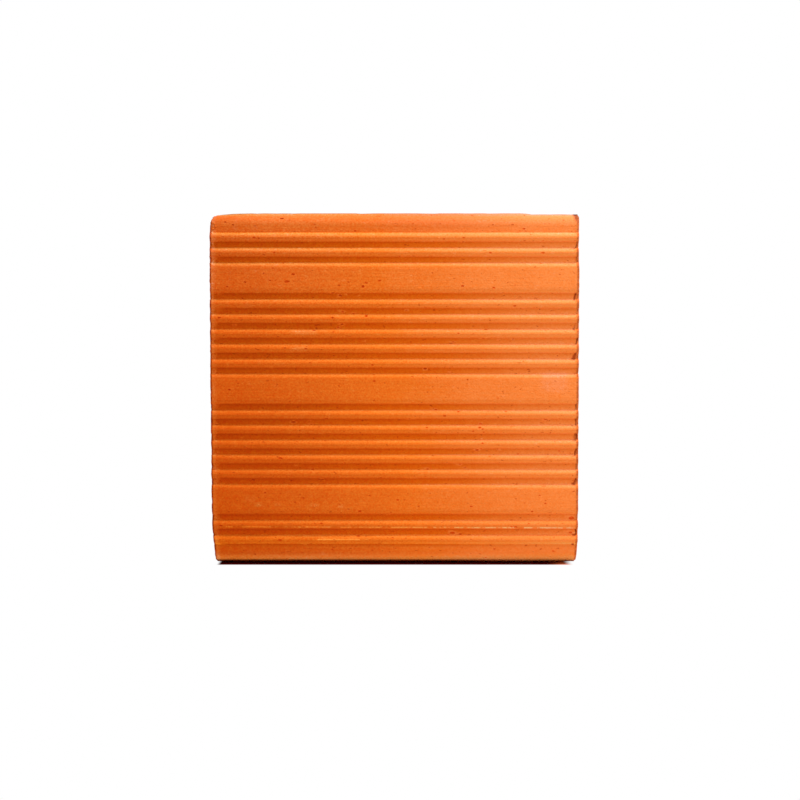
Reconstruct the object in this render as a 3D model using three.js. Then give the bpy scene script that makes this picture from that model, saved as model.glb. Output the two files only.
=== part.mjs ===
// Hollow clay block: one piece of fired clay, extruded through a die and cut to length by wires.
// The ribbed section lies in the YZ plane and runs along X, from wire cut to wire cut.
// The block stands on its narrow ribbed face, with the origin at the middle of that face.
// All sizes are in millimetres.
import * as THREE from "three";

// Overall size, over the plain bands and the ribs.
const blockLength = 250;
const blockThickness = 120;
const blockHeight = 239;

// Walls and cells. The shell is measured from the outermost face, so a groove thins it.
const shellWall = 10;
const webWall = 7;
const cellColumns = 3;
const cellRows = 6;
const cellCornerRadius = 4;

// Plaster grooves. Each has a level floor and two flanks, which leave the ribs level and steepen inwards.
// A plain band keeps the middle of each face whole, then groups of grooves and more bands follow.
const grooveFloorWidth = 3.4;
const grooveDepth = 2;
const flankRun = 3.3;
const groovePitch = 10.1;
const groovesPerGroup = 6;
const plainBandWidth = 14.6;

// The strip along each of the four long edges is set back to the depth of the grooves.
const edgeStripWidth = 13.6;
const edgeRadius = 7.2;

// The share of a flank's run at which the tangents of its two ends meet. This value makes the flank an arc.
const flankShoulder = (1 + (grooveDepth / flankRun) ** 2) / 2;
const segmentsPerCurve = 4;

const halfGroove = grooveFloorWidth / 2 + flankRun;
const ribWidth = groovePitch - 2 * halfGroove;
const bandPitch = plainBandWidth + 2 * halfGroove + (groovesPerGroup - 1) * groovePitch;

// Where the last rib of a face begins to round down to the edge strip, measured from the middle of the face.
function ribbedReach(faceWidth) {
  return faceWidth / 2 - edgeStripWidth - flankRun;
}

// Middles of the grooves on one half of a face, from the plain band in its middle outwards.
function grooveMiddles(faceWidth) {
  const middles = [];
  const lastMiddle = ribbedReach(faceWidth) - ribWidth - halfGroove;
  const slack = 0.01;
  for (let group = 0; group * bandPitch < faceWidth / 2; group += 1) {
    const first = group * bandPitch + plainBandWidth / 2 + halfGroove;
    for (let i = 0; i < groovesPerGroup; i += 1) {
      const middle = first + i * groovePitch;
      if (middle <= lastMiddle + slack) middles.push(middle);
    }
  }
  return middles;
}

// Draws one face of the section onto the outline.
// place(along, inset) turns a distance along the face and a depth below it into a point of the section.
function drawFace(outline, faceWidth, place) {
  const lineTo = (along, inset) => {
    const point = place(along, inset);
    outline.lineTo(point.x, point.y);
  };
  const flankDown = (lip, foot) => {
    const shoulder = place(lip + (foot - lip) * flankShoulder, 0);
    const end = place(foot, grooveDepth);
    outline.quadraticCurveTo(shoulder.x, shoulder.y, end.x, end.y);
  };
  const flankUp = (foot, lip) => {
    const shoulder = place(lip + (foot - lip) * flankShoulder, 0);
    const end = place(lip, 0);
    outline.quadraticCurveTo(shoulder.x, shoulder.y, end.x, end.y);
  };

  const reach = ribbedReach(faceWidth);
  const half = grooveMiddles(faceWidth);
  const middles = [...half.map((middle) => -middle).reverse(), ...half];

  lineTo(-reach - flankRun, grooveDepth);
  flankUp(-reach - flankRun, -reach);
  for (const middle of middles) {
    lineTo(middle - halfGroove, 0);
    flankDown(middle - halfGroove, middle - grooveFloorWidth / 2);
    lineTo(middle + grooveFloorWidth / 2, grooveDepth);
    flankUp(middle + grooveFloorWidth / 2, middle + halfGroove);
  }
  lineTo(reach, 0);
  flankDown(reach, reach + flankRun);
}

// The four faces of the section in turn, counter-clockwise, each followed by its rounded corner.
function sectionOutline() {
  const outline = new THREE.Shape();
  const halfThickness = blockThickness / 2;
  const sideCentre = halfThickness - grooveDepth - edgeRadius;
  const lowCentre = grooveDepth + edgeRadius;
  const highCentre = blockHeight - lowCentre;
  const middleHeight = blockHeight / 2;
  const quarter = Math.PI / 2;

  const bottom = (along, inset) => new THREE.Vector2(along, inset);
  const back = (along, inset) => new THREE.Vector2(halfThickness - inset, middleHeight + along);
  const top = (along, inset) => new THREE.Vector2(-along, blockHeight - inset);
  const front = (along, inset) => new THREE.Vector2(inset - halfThickness, middleHeight - along);

  outline.moveTo(-sideCentre, grooveDepth);
  drawFace(outline, blockThickness, bottom);
  outline.absarc(sideCentre, lowCentre, edgeRadius, -quarter, 0);
  drawFace(outline, blockHeight, back);
  outline.absarc(sideCentre, highCentre, edgeRadius, 0, quarter);
  drawFace(outline, blockThickness, top);
  outline.absarc(-sideCentre, highCentre, edgeRadius, quarter, 2 * quarter);
  drawFace(outline, blockHeight, front);
  outline.absarc(-sideCentre, lowCentre, edgeRadius, 2 * quarter, 3 * quarter);
  return outline;
}

// One cell: a rectangle with rounded corners, around its middle.
function cellOutline(middleY, middleZ, width, height) {
  const cell = new THREE.Path();
  const sideCentre = width / 2 - cellCornerRadius;
  const endCentre = height / 2 - cellCornerRadius;
  const corners = [
    [1, -1],
    [1, 1],
    [-1, 1],
    [-1, -1],
  ];
  corners.forEach(([sideways, upwards], i) => {
    const start = (i - 1) * (Math.PI / 2);
    cell.absarc(
      middleY + sideways * sideCentre,
      middleZ + upwards * endCentre,
      cellCornerRadius,
      start,
      start + Math.PI / 2,
    );
  });
  cell.closePath();
  return cell;
}

// The grid of cells: what the shell and the webs leave of the section is shared out evenly.
function cellOutlines() {
  const width = (blockThickness - 2 * shellWall - (cellColumns - 1) * webWall) / cellColumns;
  const height = (blockHeight - 2 * shellWall - (cellRows - 1) * webWall) / cellRows;
  const cells = [];
  for (let row = 0; row < cellRows; row += 1) {
    for (let column = 0; column < cellColumns; column += 1) {
      const middleY = -blockThickness / 2 + shellWall + width / 2 + column * (width + webWall);
      const middleZ = shellWall + height / 2 + row * (height + webWall);
      cells.push(cellOutline(middleY, middleZ, width, height));
    }
  }
  return cells;
}

function clayBlock() {
  const section = sectionOutline();
  section.holes.push(...cellOutlines());
  const geometry = new THREE.ExtrudeGeometry(section, {
    depth: blockLength,
    bevelEnabled: false,
    curveSegments: segmentsPerCurve,
  });
  const firedClay = new THREE.MeshStandardMaterial({ color: 0xec7025, roughness: 0.9, metalness: 0 });
  const mesh = new THREE.Mesh(geometry, firedClay);
  mesh.name = "clay_block";
  // Stands the section up: its width along Y, its height along Z and its run along X.
  mesh.rotation.set(Math.PI / 2, Math.PI / 2, 0);
  mesh.position.set(-blockLength / 2, 0, 0);
  return mesh;
}

const part = new THREE.Group();
part.add(clayBlock());

export default part;
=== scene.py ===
# %% [markdown]
# # A hollow clay brick
# Wet clay is pressed through a steel die, so every line along the brick is straight and every section is
# alike. Wires then cut the column to length, and the kiln turns it orange. This file follows that order: the
# die draws the section, Geometry Nodes press it out and cut it, and a second tree adds the small damage.
# The measured model comes first, because everything here is built to lie inside its box.

# %% The measured model
import math
from functools import reduce
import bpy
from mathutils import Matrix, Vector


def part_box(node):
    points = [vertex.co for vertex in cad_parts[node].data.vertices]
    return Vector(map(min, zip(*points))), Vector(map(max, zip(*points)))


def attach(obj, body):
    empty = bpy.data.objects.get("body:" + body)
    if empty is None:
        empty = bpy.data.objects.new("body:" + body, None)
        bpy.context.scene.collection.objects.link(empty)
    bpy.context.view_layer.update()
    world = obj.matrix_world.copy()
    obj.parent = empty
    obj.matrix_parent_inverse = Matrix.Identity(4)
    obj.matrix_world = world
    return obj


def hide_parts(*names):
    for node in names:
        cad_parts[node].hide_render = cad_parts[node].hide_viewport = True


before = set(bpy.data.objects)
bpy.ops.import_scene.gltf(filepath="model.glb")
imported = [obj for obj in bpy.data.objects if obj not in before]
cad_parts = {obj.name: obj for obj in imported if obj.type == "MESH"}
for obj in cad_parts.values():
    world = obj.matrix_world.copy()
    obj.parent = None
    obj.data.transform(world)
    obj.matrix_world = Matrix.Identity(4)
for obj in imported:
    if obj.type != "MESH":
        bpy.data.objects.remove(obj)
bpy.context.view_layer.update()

from types import SimpleNamespace

import bpy
from mathutils import Vector

low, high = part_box("clay_block")
length, thickness, height = high - low
MM = 0.001
print("block", [round(side / MM, 1) for side in (length, thickness, height)], "mm")

# %% [markdown]
# ## The view
# A long lens far away keeps the grooves nearly parallel, as in a catalogue. A short lens close by would
# spread them like a fan. The camera stands a little to the right of the middle, at about three quarters of
# the brick's height, and looks slightly down.

# %% Camera
def new_object(name, data):
    """An object in the scene that shows the data, at the origin."""
    made = bpy.data.objects.new(name, data)
    bpy.context.scene.collection.objects.link(made)
    return made


camera_data = bpy.data.cameras.new("view")
camera_data.lens = 85
camera_data.sensor_width = 36
camera = new_object("view", camera_data)
camera.location = (3.8 * MM, -1337.8 * MM, 183.7 * MM)
look_down = math.radians(3.2)
camera.rotation_euler = (math.pi / 2 - look_down, 0, 0)
bpy.context.scene.camera = camera
bpy.context.scene.view_settings.view_transform = "Standard"
print("camera", [round(value, 3) for value in camera.location])

# %% [markdown]
# ## Helpers for node trees
# Node trees written in Python get long, because each sum needs a node and two links. They could be drawn by
# hand in the editor, but then nobody could read them here. `Flow` wraps an output instead, and Python's own
# + - * / on it add Math nodes. The same class serves Geometry Nodes and materials.

# %% Flow
def plug(tree, socket, value):
    """Gives a socket a constant, or links one output or a list of outputs to it."""
    for each in value if isinstance(value, list) else [value]:
        if isinstance(each, Flow):
            tree.links.new(each.socket, socket)
        else:
            socket.default_value = each


class Flow:
    """A value that flows through a node tree."""

    def __init__(self, tree, socket):
        self.tree = tree
        self.socket = socket

    def math(self, operation, *others):
        made = self.tree.nodes.new("ShaderNodeMath")
        made.operation = operation
        for socket, value in zip(made.inputs, (self, *others)):
            plug(self.tree, socket, value)
        return Flow(self.tree, made.outputs[0])

    def __add__(self, other):
        return self.math("ADD", other)

    def __sub__(self, other):
        return self.math("SUBTRACT", other)

    def __mul__(self, other):
        return self.math("MULTIPLY", other)

    def __truediv__(self, other):
        return self.math("DIVIDE", other)

    def __rsub__(self, other):
        return self * -1.0 + other

    def __rtruediv__(self, other):
        return self.math("POWER", -1.0) * other

    __radd__ = __add__

    def fade(self, start, end, first=0.0, last=1.0, way="SMOOTHSTEP"):
        """Goes from first to last while this value goes from start to end, and stays there."""
        made = self.tree.nodes.new("ShaderNodeMapRange")
        made.interpolation_type = way
        for socket, value in zip(made.inputs, (self, start, end, first, last)):
            plug(self.tree, socket, value)
        return Flow(self.tree, made.outputs[0])

    def within(self, middle, core, edge):
        """1 nearer to the middle than core, and 0 past edge."""
        return (self - middle).math("ABSOLUTE").fade(edge, core)

    def above_zero(self):
        """The value, or 0 where it is negative."""
        return self.math("MAXIMUM", 0.0)


def highest(flows):
    """The greatest of several values at each place."""
    return reduce(lambda so_far, each: so_far.math("MAXIMUM", each), flows)


print("values flow through + - * /, fade, within and highest")

# %% Nodes
def add(tree, kind, inputs=None, output=None, **settings):
    """Adds a node with its settings and inputs, and returns one of its outputs as a Flow."""
    made = tree.nodes.new(kind)
    for name, value in settings.items():
        setattr(made, name, value)
    for name, value in (inputs or {}).items():
        socket = next(s for s in made.inputs if s.name == name and s.enabled)
        plug(tree, socket, value)
    outputs = [s for s in made.outputs if s.enabled and output in (None, s.name)]
    return Flow(tree, outputs[0])


def split(vector):
    """The X, Y and Z of a vector."""
    made = vector.tree.nodes.new("ShaderNodeSeparateXYZ")
    plug(vector.tree, made.inputs[0], vector)
    return [Flow(vector.tree, socket) for socket in made.outputs]


def join_xyz(tree, x, y, z):
    """A vector from its X, Y and Z."""
    return add(tree, "ShaderNodeCombineXYZ", {"X": x, "Y": y, "Z": z})


def vector_math(operation, first, second):
    """A sum of two vectors, or a vector scaled by a number."""
    made = first.tree.nodes.new("ShaderNodeVectorMath")
    made.operation = operation
    plug(first.tree, made.inputs[0], first)
    plug(first.tree, made.inputs["Scale"] if operation == "SCALE" else made.inputs[1], second)
    return Flow(first.tree, made.outputs[0])


def noise(tree, place, grain, detail=2.0, roughness=0.5, stretch=(1, 1, 1)):
    """Smooth noise from 0 to 1. Its lumps are about one grain across, and stretch draws them out."""
    inputs = {"Vector": vector_math("DIVIDE", place, stretch), "Scale": 1 / grain}
    inputs.update({"Detail": detail, "Roughness": roughness})
    return add(tree, "ShaderNodeTexNoise", inputs, "Fac")


print("noise is sized by its grain")

# %% Geometry trees
def stored(tree, name, kind="FLOAT"):
    """Reads a named attribute in Geometry Nodes."""
    return add(tree, "GeometryNodeInputNamedAttribute", {"Name": name}, data_type=kind)


def store(tree, geometry, name, value, kind="FLOAT", domain="POINT"):
    """Writes a named attribute in Geometry Nodes."""
    inputs = {"Geometry": geometry, "Name": name, "Value": value}
    return add(tree, "GeometryNodeStoreNamedAttribute", inputs, data_type=kind, domain=domain)


def moved_to(tree, geometry, place):
    """Puts every point of the geometry at its place."""
    return add(tree, "GeometryNodeSetPosition", {"Geometry": geometry, "Position": place})


def moved_by(tree, geometry, offset):
    """Moves every point of the geometry by its offset."""
    return add(tree, "GeometryNodeSetPosition", {"Geometry": geometry, "Offset": offset})


def new_tree(name, kind, sockets):
    """A node group with its sockets, given as (name, type, value). Returns it with its inputs as Flows."""
    tree = bpy.data.node_groups.new(name, kind)
    for socket_name, socket_type, value in sockets:
        kind_name = "NodeSocket" + socket_type
        socket = tree.interface.new_socket(socket_name, in_out="INPUT", socket_type=kind_name)
        if value is not None:
            socket.default_value = value
    group_input = tree.nodes.new("NodeGroupInput")
    return tree, {s.name: Flow(tree, s) for s in group_input.outputs if s.name}


def finish_tree(tree, outputs):
    """Gives a node group its outputs, as name: (type, Flow)."""
    for name, (kind, _) in outputs.items():
        tree.interface.new_socket(name, in_out="OUTPUT", socket_type="NodeSocket" + kind)
    group_output = tree.nodes.new("NodeGroupOutput")
    for name, (_, value) in outputs.items():
        plug(tree, group_output.inputs[name], value)
    print(tree.name, "has", len(tree.nodes), "nodes")


def use_tree(piece, tree, values):
    """Puts a geometry tree on a piece. Each value is set by its socket's identifier."""
    modifier = piece.modifiers.new(tree.name, "NODES")
    modifier.node_group = tree
    for item in tree.interface.items_tree:
        if item.item_type == "SOCKET" and item.in_out == "INPUT" and item.name in values:
            modifier[item.identifier] = values[item.name]


print("helpers ready")

# %% [markdown]
# ## The die
# The die's opening is the section of the brick: ribs and grooves that hold plaster, plain bands, set-back
# strips along the long edges and round corners. It could be drawn as a curve, but a ring of loose points is
# handier here, because each point can also carry what the nodes need later: which way is out of the clay, how
# hollow the section is there, and how high a lip the cutting wire may leave.

# %% Sizes of the section
groove_floor = 3.4 * MM
groove_depth = 2 * MM
flank_run = 3.3 * MM
groove_pitch = 10.1 * MM
grooves_per_group = 6
plain_band = 14.6 * MM
edge_strip = 13.6 * MM
edge_radius = 7.2 * MM
half_groove = groove_floor / 2 + flank_run
band_pitch = plain_band + 2 * half_groove + (grooves_per_group - 1) * groove_pitch
shell_wall = 10 * MM
web_wall = 7 * MM
core_columns = 3
core_rows = 6
core_radius = 4 * MM
print("bands repeat every", round(band_pitch / MM, 2), "mm")

# %% One groove
# How finely the section is drawn: straight pieces in an arc, and the length of one on a flat stretch.
FLANK_STEPS = 4
FLAT_STEP = 1.8 * MM


def flank(lip, foot):
    """An arc that leaves the rib level and runs down to the floor, as (distance along, depth below)."""
    full_turn = 2 * math.atan(groove_depth / flank_run)
    radius = flank_run / math.sin(full_turn)
    points = []
    for step in range(FLANK_STEPS + 1):
        turn = full_turn * step / FLANK_STEPS
        share = radius * math.sin(turn) / flank_run
        points.append((lip + (foot - lip) * share, radius * (1 - math.cos(turn))))
    return points


def between(start, end, inset):
    """Points along a flat stretch, without its two ends."""
    count = max(1, round(abs(end - start) / FLAT_STEP))
    return [(start + (end - start) * i / count, inset) for i in range(1, count)]


def groove_middles(face_width):
    """Middles of the grooves on one face. A plain band lies in its middle, then groups and more bands."""
    reach = face_width / 2 - edge_strip - flank_run
    half = []
    group = 0
    while group * band_pitch < face_width / 2:
        first = group * band_pitch + plain_band / 2 + half_groove
        half += [first + i * groove_pitch for i in range(grooves_per_group)]
        group += 1
    half = [middle for middle in half if middle + half_groove < reach]
    return [-middle for middle in reversed(half)] + half


print("grooves on a large face:", len(groove_middles(height)))
print("grooves on a narrow face:", len(groove_middles(thickness)))

# %% One ribbed face
# The mark of a groove fades out on the edge strip over this distance.
CREASE_SHADE = 0.8 * MM


def ribbed_face(face_width):
    """One face between its edge strips, as (distance along, depth below, how hollow, place in the groove)."""
    reach = face_width / 2 - edge_strip - flank_run
    step_down = flank(reach, reach + flank_run)
    outer = [(along, inset, inset / groove_depth, 0) for along, inset in step_down]
    outer.append((reach + flank_run + CREASE_SHADE, groove_depth, 0, 0))
    points = [(-along, inset, hollow, 0) for along, inset, hollow, _ in reversed(outer)]
    last = -reach
    for middle in groove_middles(face_width):
        near, far = middle - groove_floor / 2, middle + groove_floor / 2
        points += [(along, inset, 0, 0) for along, inset in between(last, near - flank_run, 0)]
        groove = flank(near - flank_run, near) + between(near, far, groove_depth)
        groove += reversed(flank(far + flank_run, far))
        for along, inset in groove:
            points.append((along, inset, inset / groove_depth, (along - middle) / half_groove))
        last = far + flank_run
    points += [(along, inset, 0, 0) for along, inset in between(last, reach, 0)]
    return points + outer


print("points on a large face:", len(ribbed_face(height)))

# %% The whole outline
ARC_STEPS = 8


def corner(centre_y, centre_z, start):
    """A quarter circle of the outline, from the start angle on."""
    points = []
    for step in range(ARC_STEPS + 1):
        turn = start + math.pi / 2 * step / ARC_STEPS
        way_out = (0, math.cos(turn), math.sin(turn))
        place = (0, centre_y + edge_radius * way_out[1], centre_z + edge_radius * way_out[2])
        points.append((place, way_out, 0, 0))
    return points


def die_points():
    """The section counter-clockwise seen from +X, as (place, way out, how hollow, place in the groove)."""
    half_thick, middle = thickness / 2, height / 2
    side = half_thick - groove_depth - edge_radius
    low_side = groove_depth + edge_radius
    large, narrow = ribbed_face(height), ribbed_face(thickness)
    points = [((0, along, inset), (0, 0, -1), *marks) for along, inset, *marks in narrow]
    points += corner(side, low_side, -math.pi / 2)
    points += [((0, half_thick - inset, middle + up), (0, 1, 0), *marks) for up, inset, *marks in large]
    points += corner(side, height - low_side, 0)
    points += [((0, -along, height - inset), (0, 0, 1), *marks) for along, inset, *marks in narrow]
    points += corner(-side, height - low_side, math.pi / 2)
    points += [((0, inset - half_thick, middle - up), (0, -1, 0), *marks) for up, inset, *marks in large]
    points += corner(-side, low_side, math.pi)
    return points


def ring(name, points):
    """A closed ring of edges. Its points carry their way out, how hollow they are and their groove place."""
    places, ways_out, hollows, across = zip(*points)
    count = len(points)
    mesh = bpy.data.meshes.new(name)
    mesh.from_pydata(places, [(i, (i + 1) % count) for i in range(count)], [])
    mesh.attributes.new("way_out", "FLOAT_VECTOR", "POINT").data.foreach_set("vector", sum(ways_out, ()))
    mesh.attributes.new("hollow", "FLOAT", "POINT").data.foreach_set("value", hollows)
    mesh.attributes.new("across", "FLOAT", "POINT").data.foreach_set("value", across)
    return new_object(name, mesh)


die = ring("die", die_points())
print("the die has", len(die.data.vertices), "points")

# %% [markdown]
# ## The cores
# Steel cores stand in the die and leave the cells. Booleans could cut the cells out later, but then their
# walls would have no rows of points for the wire to drag. So one core is drawn around the origin, and the
# tree sets out the whole grid. The ring runs clockwise, so that its skin faces into the cell, away from the
# clay.

# %% One core
CORE_SIDE_STEPS = 7
CORE_ARC_STEPS = 4
core_width = (thickness - 2 * shell_wall - (core_columns - 1) * web_wall) / core_columns
core_height = (height - 2 * shell_wall - (core_rows - 1) * web_wall) / core_rows


def core_points():
    """A rectangle with round corners. Its way out of the clay is towards the middle of the cell."""
    points = []
    side, end = core_width / 2 - core_radius, core_height / 2 - core_radius
    corners = [(side, -end), (-side, -end), (-side, end), (side, end)]
    for i, (centre_y, centre_z) in enumerate(corners):
        start = -math.pi / 2 * i
        for step in range(CORE_ARC_STEPS + 1):
            turn = start - math.pi / 2 * step / CORE_ARC_STEPS
            y = centre_y + core_radius * math.cos(turn)
            z = centre_z + core_radius * math.sin(turn)
            points.append(((0, y, z), (0, -math.cos(turn), -math.sin(turn)), 0, 0))
        last, following = points[-1], corners[(i + 1) % 4]
        run_y, run_z = following[0] - centre_y, following[1] - centre_z
        for step in range(1, CORE_SIDE_STEPS):
            share = step / CORE_SIDE_STEPS
            points.append(((0, last[0][1] + run_y * share, last[0][2] + run_z * share), last[1], 0, 0))
    return points


core = ring("core", core_points())
print("a core is", round(core_width / MM, 2), "by", round(core_height / MM, 2), "mm")

# %% [markdown]
# ## Pressing the column
# An Array or a Screw modifier could stretch the section, but neither leaves anything to shape at the ends.
# Here a grid is bent into the skin: one way round the ring, the other way along the brick. Its rows crowd
# towards the cuts, because the rough rims need them and the straight middle doesn't.

# %% Stretching a ring into a skin
# The last stretch before each cut takes this share of the rows.
FINE_STRETCH = 6 * MM
FINE_SHARE = 0.4


def stretched(tree, ring_mesh, rows, run):
    """The skin that a ring leaves when it is drawn along X, with its attributes."""
    size = tree.nodes.new("GeometryNodeAttributeDomainSize")
    plug(tree, size.inputs[0], ring_mesh)
    count = Flow(tree, size.outputs["Point Count"])
    sizes = {"Size X": 2, "Size Y": 2, "Vertices X": count + 1, "Vertices Y": rows}
    grid = add(tree, "GeometryNodeMeshGrid", sizes)
    index = add(tree, "GeometryNodeInputIndex")
    on_ring = (index / rows).math("FLOOR").math("MODULO", count)
    share = split(add(tree, "GeometryNodeInputPosition"))[1]
    outwards = share.math("ABSOLUTE")
    coarse = outwards.fade(0.0, 1 - FINE_SHARE, 0.0, run / 2 - FINE_STRETCH, "LINEAR")
    fine = outwards.fade(1 - FINE_SHARE, 1.0, 0.0, FINE_STRETCH, "LINEAR")
    along = (coarse + fine) * share.math("SIGN")

    def from_ring(value, kind):
        inputs = {"Geometry": ring_mesh, "Value": value, "Index": on_ring}
        return add(tree, "GeometryNodeSampleIndex", inputs, data_type=kind)

    section = from_ring(add(tree, "GeometryNodeInputPosition"), "FLOAT_VECTOR")
    _, y, z = split(section)
    skin = moved_to(tree, grid, join_xyz(tree, along, y, z))
    for name, kind in (("way_out", "FLOAT_VECTOR"), ("hollow", "FLOAT"), ("across", "FLOAT")):
        skin = store(tree, skin, name, from_ring(stored(tree, name, kind), kind), kind)
    return skin


print("rings stretch into skins along X, with", round(FINE_SHARE * 100), "% of the rows near the cuts")

# %% [markdown]
# ## What the wire leaves
# A wire never cuts quite straight, and it drags clay: it rounds the rims, pushes a ragged lip into every
# groove and feathers the cells. Clay that is still soft also sags a little. A sculptor could push all this
# about by hand. Here it is one offset along each point's way out and one along X, so the die stays clean and
# every amount is an input of the tree.

# %% Lean of the two cuts
# How short each cut stops of the full length, from the floor up, as (height, shortfall) in millimetres.
LEFT_CUT = [
    (0, 2.7), (10, 2.2), (17, 1.6), (24, 1.0), (40, 0.6), (75, 0.4), (140, 0.1), (180, 0), (205, 0),
    (239, 0.4),
]
RIGHT_CUT = [
    (0, 1.1), (8, 0.75), (14, 0.3), (30, 0), (60, 0), (130, 0), (200, 0), (214, 0.4), (228, 0.2),
    (239, 0),
]
# A Float Curve holds values up to 1, so the shortfalls go in as shares of this many millimetres.
CUT_SCALE = 4


def cut_curve(tree, height_share, shape):
    """A Float Curve node through the points of one cut, in metres."""
    made = tree.nodes.new("ShaderNodeFloatCurve")
    plug(tree, made.inputs["Value"], height_share)
    curve = made.mapping.curves[0]
    points = [(up * MM / height, short / CUT_SCALE) for up, short in shape]
    curve.points[0].location, curve.points[-1].location = points[0], points[-1]
    for point in points[1:-1]:
        curve.points.new(*point)
    made.mapping.update()
    return Flow(tree, made.outputs[0]) * (CUT_SCALE * MM)


print("the left cut stops", LEFT_CUT[0][1], "mm short at the floor, the right one", RIGHT_CUT[0][1], "mm")

# %% What the shaping asks of a point
def looked_up(tree, sizes):
    """Where a point lies, which way is out of the clay there, and how far the cut is."""
    at = SimpleNamespace(place=add(tree, "GeometryNodeInputPosition"))
    at.x, _, at.z = split(at.place)
    at.way_out = stored(tree, "way_out", "FLOAT_VECTOR")
    at.facing_up = split(at.way_out)[2].fade(0.5, 1.0)
    at.hollow, at.inside, at.across = (stored(tree, name) for name in ("hollow", "inside", "across"))
    at.on_right = at.x.math("GREATER_THAN", 0.0)
    at.from_end = sizes["Length"] / 2 - at.x.math("ABSOLUTE")
    return at


print("each step of the shaping asks the same of a point")

# %% Round rims
def rim_sink(tree, at, sizes):
    """How far the round edge of a cut lies below the skin. Its radius wanders along the rim."""
    radius = sizes["Rim Radius"] * noise(tree, at.place, 5 * MM).fade(0.3, 0.7, 0.4, 1.4)
    sharp_corner = at.on_right * at.z.fade(height - 6 * MM, height - 3 * MM)
    radius = radius * (1 - sharp_corner * 0.8)
    level = (1 - at.from_end / radius).above_zero()
    return radius * (1 - (1 - level * level).math("SQRT"))


print("rims are round but for the upper right corner")

# %% Dragged lips and torn slits
def dragged(tree, at, sizes):
    """The lip that the wire dragged over a groove, the lip in a cell, and the slit that it tore.

    On the left the lips stay. On the right they came off along a slanted line, which left the slit.
    """
    torn = noise(tree, at.place, 3 * MM, 3.0).fade(0.3, 0.55)
    reach = sizes["Lip Reach"] * noise(tree, at.place, 6 * MM).fade(0.3, 0.7, 0.5, 1.5)
    left_reach = reach * (at.z / sizes["Height"]).fade(0.0, 0.5, 2.5, 1.8)
    left_lip = torn * at.from_end.fade(reach * 0.5, left_reach, 1, 0)
    slanted = reach * (0.55 + at.across * 0.35)
    right_lip = at.from_end.fade(slanted * 0.8, slanted, 1, 0)
    lip = left_lip + at.on_right * (right_lip - left_lip)
    slit = at.from_end.within(slanted * 1.15, slanted * 0.2, slanted * 0.8) * at.hollow * at.on_right
    slit = slit * (1 - at.inside) * noise(tree, at.place, 11 * MM).fade(0.38, 0.58, 0.15, 1.0)
    return lip, left_lip, slit


print("the wire drags lips into grooves and cells")

# %% Sag and ripple
# The ribs of the top face are flattened near both ends, as (from X, to X, depth) in millimetres.
FLAT_ENDS = [(-104, -118, 0.8), (88, 93, 0.7)]


def sagged(tree, at, sizes):
    """How far soft clay sank: long waves, finer ones drawn out along the brick, and short ones.

    The bed on the floor stays level, and the top gets a ripple across the brick instead.
    """
    above_bed = at.z.fade(1 * MM, 12 * MM)
    long_waves = noise(tree, at.place, 60 * MM) * 0.45
    drawn_waves = noise(tree, at.place, 3 * MM, stretch=(60, 1, 1)) * 0.25
    short_waves = noise(tree, at.place, 9 * MM, 3.0, 0.6) * 0.3
    waves = (long_waves + drawn_waves + short_waves) * (1 - at.facing_up * 0.8)
    sag = sizes["Wave"] * waves * above_bed * (1 - at.inside)
    ripple = noise(tree, at.place, 8 * MM, 3.0, 0.6, stretch=(1, 40, 40)).fade(0.45, 0.75)
    sag = sag + ripple * at.facing_up * sizes["Wave"] * 0.9
    on_top = at.z.fade(height - 3 * MM, height)
    for start, end, depth in FLAT_ENDS:
        sag = sag + at.x.fade(start * MM, end * MM) * at.facing_up * on_top * (depth * MM)
    return sag


print("flattened ends:", len(FLAT_ENDS))

# %% Fins from a nick in the die
# Thin fins on the front, as (from X, height there, to X, height there) in millimetres, and how whole each
# one is, from 0 to 1.
FINS = [(-125, 25.9, 125, 25.0, 0.0), (-52, 17.1, -24, 17.1, 0.9)]


def fins(tree, place):
    """How much of a fin stands at each place, from 0 to 1."""
    x, y, z = split(place)
    front = y.fade(-55 * MM, -56 * MM)
    broken = noise(tree, place, 5 * MM, 3.0, 0.7, stretch=(1, 30, 30)).fade(0.42, 0.56)
    ridges = []
    for start, first_up, end, last_up, whole in FINS:
        middle, half = (start + end) / 2 * MM, (end - start) / 2 * MM
        along = x.within(middle, half, half + 1 * MM)
        up = x.fade(start * MM, end * MM, first_up * MM, last_up * MM, "LINEAR")
        ridges.append(z.within(up, 0.25 * MM, 0.6 * MM) * along * broken.math("MAXIMUM", whole))
    return highest(ridges) * front


print("fins:", len(FINS))

# %% The worn corner
CORNER_RADIUS = 8.5 * MM


def corner_wear(tree, place):
    """The worn upper corner at the left of the front, as an offset towards the middle of a round corner."""
    x, y, z = split(place)
    radius = (noise(tree, place, 3 * MM, 3.0) + 0.5) * CORNER_RADIUS
    in_x = (radius - (x + length / 2)).above_zero()
    in_z = (radius - (height - z)).above_zero()
    reach = (in_x * in_x + in_z * in_z).math("SQRT")
    tiny = 0.01 * MM
    share = (reach - radius).above_zero() / (reach + tiny) * y.fade(-20 * MM, -45 * MM, 0.3, 1)
    return join_xyz(tree, in_x * share, 0.0, in_z * share * -1.0)


print("the worn corner is about", round(CORNER_RADIUS / MM, 1), "mm across")

# %% The torn cuts
def cut_shift(tree, at, sizes):
    """How far a point moves along X, because the cuts lean and are torn along their edges."""
    share = at.z / sizes["Height"]
    left, right = cut_curve(tree, share, LEFT_CUT), cut_curve(tree, share, RIGHT_CUT)
    lean = left + at.on_right * (right - left)
    torn_edge = noise(tree, at.place, 4 * MM, 4.0, 0.7)
    ragged = sizes["Ragged"] * torn_edge.fade(0.35 + at.on_right * 0.15, 0.75 + at.on_right * 0.05)
    return at.x * (lean + ragged) / (sizes["Length"] / 2) * -1.0


print("the cuts lean by a curve each")

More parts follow.
